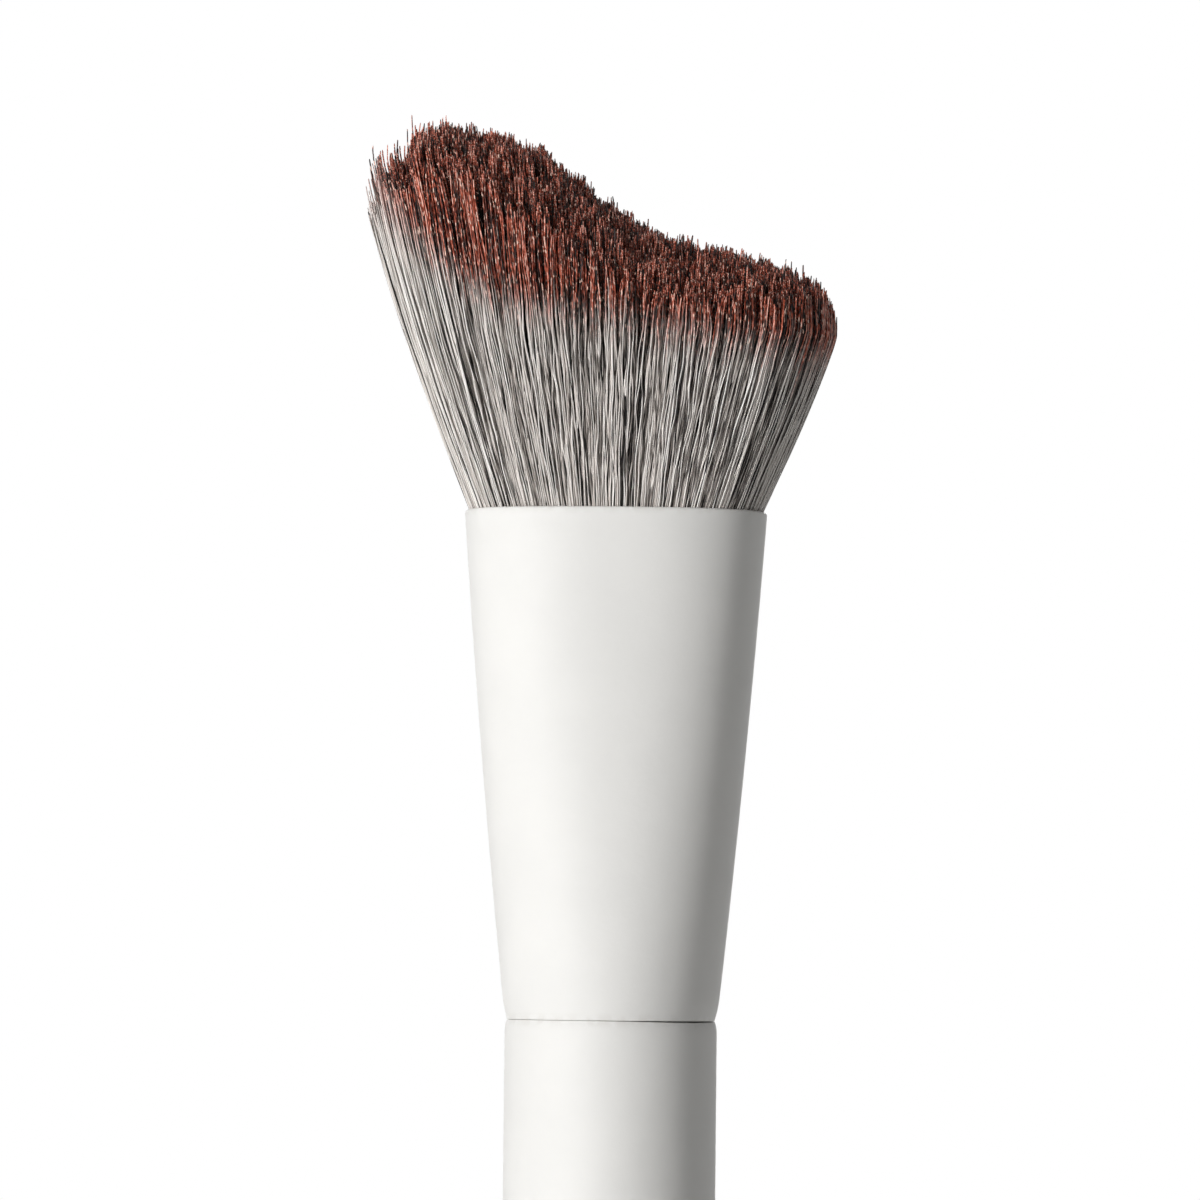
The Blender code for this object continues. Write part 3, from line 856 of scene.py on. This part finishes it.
small_tuft = Tuft(small_half_width, small_half_depth, small_top,
                  small_dye_height, np.ones_like, np.zeros_like)
print("small tuft's middle and rim in mm:", in_mm(small_top(0, 0), small_top(1, 0)))

# %% [markdown]
# ## The bound bundle
# Inside the ferrule the filaments are one tight bundle: a collar that fills the mouth, a waist that
# the thread grips, and a foot in glue. Nobody sees it unless the brush is taken apart, so it is one
# solid with a fibre grain, and the loose filaments start inside its top.

# %% Make the bundles
ROOT_RECESS = 0.3 * MM
BUNDLE_GAP = 0.3 * MM
COLLAR_HEIGHT = 4.0 * MM
COLLAR_TAPER_HEIGHT = 2.0 * MM
BUNDLE_STEPS = 96
COLLAR_INSET = FERRULE_WALL + BUNDLE_GAP
FOOT_INSET = FERRULE_WALL + 4 * BUNDLE_GAP
WAIST_INSET = FOOT_INSET + BUNDLE_GAP
FIBRE_DEPTH = 0.05 * MM
FIBRE_STRETCH = 1, 1, 0.03
BUNDLE_TONES = {
    "Tone A": (0.30, 0.26, 0.235, 1),
    "Tone B": (0.16, 0.135, 0.12, 1),
    "Patch Size": 0.12 * MM,
}
BUNDLE_ROUGHNESS = 0.5


def make_bundle_finish():
    material, tree, shader, place = start_material("bundle_fibre")
    sources = {0: place, 1: FIBRE_STRETCH}
    along = add_node(tree, "ShaderNodeVectorMath", sources, operation="MULTIPLY").outputs["Vector"]
    tone = place_group(tree, tone_group, along, BUNDLE_TONES)
    feed(tree, shader, {
        "Base Color": tone["Color"],
        "Roughness": BUNDLE_ROUGHNESS,
        "Normal": add_bump(tree, tone["Mask"], FIBRE_DEPTH),
    })
    return material


def make_bundle(head, finish):
    """Lofted bundle from its foot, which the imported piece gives, up to just under the lip."""
    foot = span(f"{head.name}_bristles", head.side)[0] - head.seam
    thread_low, thread_high = span(f"{head.name}_binding_thread", head.side)
    root = head.length - ROOT_RECESS
    collar = root - COLLAR_HEIGHT
    waist = collar - COLLAR_TAPER_HEIGHT
    step = waist - (thread_high - thread_low) - 2 * BUNDLE_GAP
    print(head.name, "bundle's foot and waist in mm:", in_mm(foot, step, waist))
    levels = [(foot, FOOT_INSET), (step, FOOT_INSET), (step, WAIST_INSET), (waist, WAIST_INSET),
              (collar, COLLAR_INSET), (root, COLLAR_INSET)]
    rings = np.array([ferrule_ring(head, height, inset, BUNDLE_STEPS) for height, inset in levels])
    name = f"{head.name}_bound_bundle"
    piece = new_piece(name, loft(name, to_world(head, rings), False), finish)
    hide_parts(f"{head.name}_bristles")


bundle_finish = make_bundle_finish()
for head in (large_head, small_head):
    make_bundle(head, bundle_finish)

# %% [markdown]
# ## Filaments
# Blender's hair curves would be quick to comb, but they carry no closed surface, and this model has
# to leave Blender as plain meshes. So each filament is a three-sided tube that ends in a point. All
# tubes of a piece are worked out together as one array of points: filament by ring by corner.
#
# First the filaments are spread over the mouth like seeds in a sunflower. Then they are gathered
# into locks, because filaments cling together, and the locks into tresses, which part at the tips.
# Each lock leans and waves a little as a whole, and each filament in it waves by itself. Last, what
# would stick out is held inside the tuft's outline.

# %% Spread and gather the filaments
GOLDEN_ANGLE = math.pi * (3 - math.sqrt(5))
JITTER_SHARE = 0.45
BLOCK_SIZE = 1000


def spread_places(count, exponent, chance):
    """Places in the unit section, evenly spread and a little disordered."""
    index = np.arange(count)
    shift = JITTER_SHARE * chance.uniform(-1, 1, (2, count)) / math.sqrt(count)
    radius = np.clip(np.sqrt((index + 0.5) / count) + shift[0], 0, 1)
    across, along = superellipse(index * GOLDEN_ANGLE + shift[1], exponent)
    return np.stack([radius * across, radius * along], axis=-1)


def nearest(places, centres):
    """Index of the nearest centre to each place."""
    found = np.empty(len(places), int)
    for start in range(0, len(places), BLOCK_SIZE):
        block = places[start : start + BLOCK_SIZE]
        apart = ((block[:, None] - centres) ** 2).sum(-1)
        found[start : start + BLOCK_SIZE] = apart.argmin(1)
    return found


# %% [markdown]
# ### The path of a filament
# Waves are sums of a few sines with random phases, which is cheap and never looks periodic once
# lengths differ. They start at nothing in the mouth, where the filaments are held, and grow over
# the first millimetres. Each lock draws together towards its tips, and each tress does so at the
# very end, which leaves the small gaps and points that a trimmed tuft has.

# %% Work out the paths
FILAMENT_RADIUS = 0.049 * MM
SINK = 1.0 * MM
TIP_RINGS = ((0.9 * MM, 1.0), (0.30 * MM, 0.96), (0.05 * MM, 0.80), (0.0, 0.0))
WAVE_LENGTHS = (2.4 * MM, 4.3 * MM, 8.1 * MM)
WAVE_START = 2.5 * MM
OWN_LENGTH_SPAN = 0.8, 1.25
OWN_SWING_SPAN = 0.2, 1
PULL_POWER = 3
GATHER_POWER = 9
CALM_SIDES = 0.7
TINY = 1e-6
STYLE_FIELDS = "wave lock_wave lean pull gather top_scatter lock_scatter tress_scatter"
Style = namedtuple("Style", STYLE_FIELDS)
Bunch = namedtuple("Bunch", "place reach lock_centre tress_centre lean phase top limit tone")


def grow_paths(head, tuft, bunch, rings, style, chance):
    """Points of every filament's axis, ring by ring, and each ring's height above the mouth."""
    count = len(bunch.place)
    section = ferrule_section(head, head.length, FERRULE_WALL)
    top = bunch.top[:, None]
    straight = np.linspace(0, 1, rings) * (top + SINK - TIP_RINGS[0][0]) - SINK
    tip = top - np.array([step for step, _ in TIP_RINGS[1:]])
    height = np.concatenate([straight, tip], axis=1)

    share = np.clip(height / top, 0, 1)
    pull, gather = style.pull * share**PULL_POWER, style.gather * share**GATHER_POWER
    pulled = [
        mixed(mixed(bunch.place[:, axis, None], bunch.lock_centre[:, axis, None], pull),
              bunch.tress_centre[:, axis, None], gather)
        for axis in (0, 1)
    ]
    wide = tuft.half_width(pulled[0], section[0], height) - FILAMENT_RADIUS
    deep = tuft.half_depth(section[1], height) - FILAMENT_RADIUS

    grown = np.clip(height / WAVE_START, 0, 1) * (1 - CALM_SIDES * bunch.place[:, :1] ** 2)
    moved = []
    for axis, size in enumerate((wide, deep)):
        drift = bunch.lean[:, axis, None] * np.clip(height, 0, None)
        for step, length in enumerate(WAVE_LENGTHS):
            turn = math.tau * height / (2 * length) + bunch.phase[:, axis, step, None]
            drift += style.lock_wave * 2 * length * grown * np.sin(turn)
            own = length * chance.uniform(*OWN_LENGTH_SPAN, count)[:, None]
            swing = style.wave * own * chance.uniform(*OWN_SWING_SPAN, count)[:, None]
            turn = math.tau * height / own + chance.uniform(0, math.tau, count)[:, None]
            drift += swing * grown * np.sin(turn)
        moved.append(pulled[axis] + drift / size)
    reach = (abs(moved[0]) ** section[2] + abs(moved[1]) ** section[2]) ** (1 / section[2])
    held = np.minimum(1, bunch.limit[:, None] / np.maximum(reach, TINY))
    z = head.length - ROOT_RECESS + height
    return np.stack([moved[0] * held * wide, moved[1] * held * deep, z], axis=-1), height


# %% [markdown]
# ### From paths to tubes
# At each ring the tube's corners lie in the plane square to the path. Meshes this large are filled
# through numpy arrays with foreach_set. Adding faces one by one would take minutes.

# %% Place the corners of the tubes
SIDES = 3


def tube_points(paths, radius, turn):
    """Corners round every path point, and the tips."""
    ahead = np.gradient(paths, axis=1)
    ahead /= np.linalg.norm(ahead, axis=-1, keepdims=True)
    across = np.array([1.0, 0, 0]) - ahead * ahead[..., :1]
    across /= np.linalg.norm(across, axis=-1, keepdims=True)
    along = np.cross(ahead, across)
    angle = turn[:, None] + full_turn(SIDES)
    spoke = (across[:, :-1, None] * np.cos(angle)[:, None, :, None]
             + along[:, :-1, None] * np.sin(angle)[:, None, :, None])
    corners = paths[:, :-1, None] + spoke * radius[:, :, None, None]
    return corners, paths[:, -1]


# %% Build one mesh of tubes
def tube_mesh(name, corners, tips, strip, fade, rise):
    """Closed tubes as one mesh, each on its strip of the filament map. Fade is painted shade that
    darkens the rings.
    """
    count, rings = corners.shape[:2]
    size = rings * SIDES + 1
    points = np.concatenate([corners.reshape(count, -1, 3), tips[:, None]], axis=1)
    ring, side = np.meshgrid(np.arange(rings - 1), np.arange(SIDES), indexing="ij")
    ring, side = ring.ravel(), side.ravel()
    following = (side + 1) % SIDES
    walls = np.stack([ring * SIDES + side, ring * SIDES + following,
                      (ring + 1) * SIDES + following, (ring + 1) * SIDES + side], axis=-1)
    wall_side = np.stack([side, side + 1, side + 1, side], axis=-1)
    wall_ring = np.stack([ring, ring, ring + 1, ring + 1], axis=-1)
    last, edge = (rings - 1) * SIDES, np.arange(SIDES)
    caps = np.stack([last + edge, last + (edge + 1) % SIDES, np.full(SIDES, size - 1)], axis=-1)
    cap_side = np.stack([edge, edge + 1, edge + 0.5], axis=-1)
    cap_ring = np.stack([np.full(SIDES, rings - 1)] * 2 + [np.full(SIDES, rings)], axis=-1)
    foot = np.arange(SIDES)[::-1]
    loops = np.concatenate([walls.ravel(), caps.ravel(), foot])
    loop_side = np.concatenate([wall_side.ravel(), cap_side.ravel(), foot])
    loop_ring = np.concatenate([wall_ring.ravel(), cap_ring.ravel(), np.zeros(SIDES, int)])
    lengths = np.concatenate([np.full(len(walls), 4), np.full(len(caps) + 1, 3)])

    every = np.arange(count)[:, None]
    # Painted shade: fade moves deep rings onto darker strips of the map.
    u = (strip[:, None] * fade[:, loop_ring] + loop_side / SIDES) / MAP_STRIPS
    v = rise[:, loop_ring]
    starts = np.concatenate([[0], np.cumsum(np.tile(lengths, count))[:-1]])
    mesh = bpy.data.meshes.new(name)
    mesh.vertices.add(count * size)
    mesh.loops.add(count * len(loops))
    mesh.polygons.add(count * len(lengths))
    mesh.vertices.foreach_set("co", points.ravel())
    mesh.loops.foreach_set("vertex_index", (loops + every * size).ravel())
    mesh.polygons.foreach_set("loop_start", starts)
    mesh.update(calc_edges=True)
    layer = mesh.uv_layers.new(name=FILAMENT_MAP)
    layer.uv.foreach_set("vector", np.stack([u, v], axis=-1).ravel())
    mesh.shade_smooth()
    return mesh


# %% [markdown]
# ### One group of filaments
# Each filament gets its own thickness, dye line and strip of the map. What lies behind the outer
# layers is painted darker, as painted shade, because light hardly gets in between them, and so the
# gaps between the front filaments read as gaps. Shadows alone could do this, but the exported model
# has to carry it too.

# %% Build a group
SKIN_SHARE = 0.08
SHADE_REACH = 3.0 * MM
SHADE_DEPTH = 0.9
DYE_SCATTER = 0.4 * MM
RADIUS_SCATTER = 0.15
MAP_MARGIN = 0.001


def shade_inside(bunch, height):
    """Painted shade: the tone left at each ring, all in the outer layers and near the tips, little
    deep inside.
    """
    under = np.clip((bunch.top[:, None] - height) / SHADE_REACH, 0, 1)
    inside = np.clip((1 - bunch.reach[:, None]) / SKIN_SHARE, 0, 1)
    return 1 - SHADE_DEPTH * under * inside


def add_filaments(head, tuft, group, bunch, rings, style, chance):
    """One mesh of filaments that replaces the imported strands."""
    count = len(bunch.place)
    paths, height = grow_paths(head, tuft, bunch, rings, style, chance)
    dye = ROOT_RECESS + tuft.dye_height(bunch.place[:, 0]) + chance.normal(0, DYE_SCATTER, count)
    pace = tuft.dye_pace(bunch.place[:, 0])
    rise = ((height - dye[:, None]) * pace[:, None] + MAP_BELOW_DYE) / MAP_HEIGHT
    thin = np.concatenate([np.ones(rings - 1), [share for _, share in TIP_RINGS[:-1]]])
    size = FILAMENT_RADIUS * (1 + RADIUS_SCATTER * chance.uniform(-1, 1, count))
    turn = chance.uniform(0, math.tau, count)
    points = tube_points(paths, size[:, None] * thin, turn)
    corners, tips = (to_world(head, part) for part in points)
    strip = np.floor(np.clip(bunch.tone, 0, 1 - MAP_MARGIN) * MAP_STRIPS)
    rise = np.clip(rise, MAP_MARGIN, 1 - MAP_MARGIN)
    name = f"{head.name}_filaments_{group}"
    mesh = tube_mesh(name, corners, tips, strip, shade_inside(bunch, height), rise)
    piece = new_piece(name, mesh, filament_finish)
    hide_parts(f"{head.name}_bristles")
    print(name, "filaments:", count, "faces:", len(mesh.polygons))


# %% [markdown]
# ### One tuft
# Filaments near the outside show their whole length and get many rings. Those in the core show only
# their tips and need few. A few filaments escape the shears: they stand taller than their
# neighbours and a little outside the flow. The tuft is divided by place in the section, so that no
# mesh grows too large to handle.

# %% Gather a tuft
LOCK_TONE = 0.08
STRAY_RISE = 0.7 * MM, 2.0 * MM
STRAY_REACH = 0.03
Growth = namedtuple("Growth", "filaments locks tresses seed")


def gather_tuft(head, tuft, growth, style, chance):
    """Every filament of a tuft: its place, its lock and tress, its height and its tone."""
    count, lock_count, tress_count, _ = growth
    place, locks, tresses = (spread_places(number, head.exponent, chance) for number in growth[:3])
    lock = nearest(place, locks)
    tress = nearest(locks, tresses)
    reach = (abs(place) ** head.exponent).sum(1) ** (1 / head.exponent)
    stray = chance.random(count) < tuft.stray_share(place[:, 0])
    top = (ROOT_RECESS + tuft.top(place[:, 0], place[:, 1])
           + chance.normal(0, style.top_scatter, count)
           + style.lock_scatter * chance.uniform(-1, 1, lock_count)[lock]
           + style.tress_scatter * chance.uniform(-1, 1, tress_count)[tress][lock]
           + stray * chance.uniform(*STRAY_RISE, count))
    packed_end = span(f"{head.name}_bristles", head.side)[1]
    packed_top = packed_end - head.seam - head.length + ROOT_RECESS
    tone = mixed(chance.random(count), chance.random(lock_count)[lock], LOCK_TONE)
    return Bunch(
        place=place,
        reach=reach,
        lock_centre=locks[lock],
        tress_centre=tresses[tress][lock],
        lean=chance.normal(0, style.lean, (lock_count, 2))[lock],
        phase=chance.uniform(0, math.tau, (lock_count, 2, len(WAVE_LENGTHS)))[lock],
        top=np.minimum(top, packed_top),
        limit=1 + STRAY_REACH * stray,
        tone=tone,
    )


# %% Divide a tuft
OUTER_SHARE = 0.84
CORE_RINGS = 5
OUTER_RINGS = 30
SPLIT_PLACES = 0.5, 0.8


def make_tuft(head, tuft, growth, style):
    chance = np.random.default_rng(growth.seed)
    bunch = gather_tuft(head, tuft, growth, style, chance)
    p, q = bunch.place.T
    outer = bunch.reach > OUTER_SHARE
    inner, middle = (abs(p) < place for place in SPLIT_PLACES)
    bands = {"mid": inner, "side": middle & ~inner, "far": ~middle}
    groups = {}
    for face, on_face in {"front": q < 0, "back": q >= 0}.items():
        for side, on_side in {"left": p < 0, "right": p >= 0}.items():
            groups[f"core_{face}_{side}"] = ~outer & on_face & on_side
            for band, in_band in bands.items():
                groups[f"{face}_{band}_{side}"] = outer & on_face & on_side & in_band
    for group, chosen in groups.items():
        rings = CORE_RINGS if group.startswith("core") else OUTER_RINGS
        some = Bunch(*(field[chosen] for field in bunch))
        add_filaments(head, tuft, group, some, rings, style, chance)


# %% [markdown]
# ### Both tufts
# A real tuft of this size has more filaments, and finer ones. These numbers are as dense as the
# look needs, and no mesh gets too heavy to export. They could be set per area of the mouth, but
# then a change of a ferrule would upset them. The seed fixes all chance, so the same tuft grows on
# every run.

# %% Make both tufts
LARGE_GROWTH = Growth(filaments=24000, locks=4200, tresses=600, seed=11)
SMALL_GROWTH = Growth(filaments=10500, locks=2000, tresses=300, seed=12)
TRIMMED_STYLE = Style(wave=0.012, lock_wave=0.003, lean=0.005, pull=0.18, gather=0.24,
                      top_scatter=0.24 * MM, lock_scatter=0.16 * MM, tress_scatter=0.45 * MM)

make_tuft(large_head, large_tuft, LARGE_GROWTH, TRIMMED_STYLE)
make_tuft(small_head, small_tuft, SMALL_GROWTH, TRIMMED_STYLE)

# %% [markdown]
# ## Pieces inside
# The plugs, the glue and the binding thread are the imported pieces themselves. Their shape is right,
# so they only need a finish. They are hidden in use, yet they show as soon as the brush is opened.

# %% Finish the plugs, glue and thread
PLUG_TONES = (0.62, 0.62, 0.60, 1), (0.56, 0.56, 0.545, 1)
GLUE_TONES = (0.55, 0.42, 0.22, 1), (0.44, 0.31, 0.14, 1)
THREAD_TONES = (0.80, 0.77, 0.70, 1), (0.66, 0.62, 0.55, 1)
GRAIN_DETAIL = 3


def make_plain_finish(name, tones, roughness, grain_size, grain_height, patch_size):
    material, tree, shader, place = start_material(name)
    drift = {"Tone A": tones[0], "Tone B": tones[1], "Patch Size": patch_size}
    tone = place_group(tree, tone_group, place, drift)
    swells = {"Grain Size": grain_size, "Detail": GRAIN_DETAIL}
    grain = place_group(tree, grain_group, place, swells)
    feed(tree, shader, {
        "Base Color": tone["Color"],
        "Roughness": roughness,
        "Normal": add_bump(tree, grain["Height"], grain_height),
    })
    return material


# Each with its tones, roughness, size and height of the grain, and size of the patches.
inner_finishes = {
    "end_plug": make_plain_finish("plug_plastic", PLUG_TONES, 0.6, 0.3 * MM, 0.02 * MM, 4 * MM),
    "root_glue": make_plain_finish("amber_glue", GLUE_TONES, 0.3, 2 * MM, 0.05 * MM, 3 * MM),
    "binding_thread": make_plain_finish("binding_cotton", THREAD_TONES, 0.9, 0.08 * MM, 0.04 * MM,
                                        0.15 * MM),
}
for head in (large_head, small_head):
    for kind, finish in inner_finishes.items():
        for material_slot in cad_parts[f"{head.name}_{kind}"].material_slots:
            material_slot.material = finish
        print(f"{head.name}_{kind}:", finish.name)

# %% [markdown]
# ## Measure and finish
# The dressed brush should stay inside the box of the imported one. Both boxes are printed.

# %% Print both sizes
dressed_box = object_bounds()
for name, box in (("packed", cad_box), ("dressed", dressed_box)):
    print(name, "in mm:", [in_mm(*corner) for corner in box])
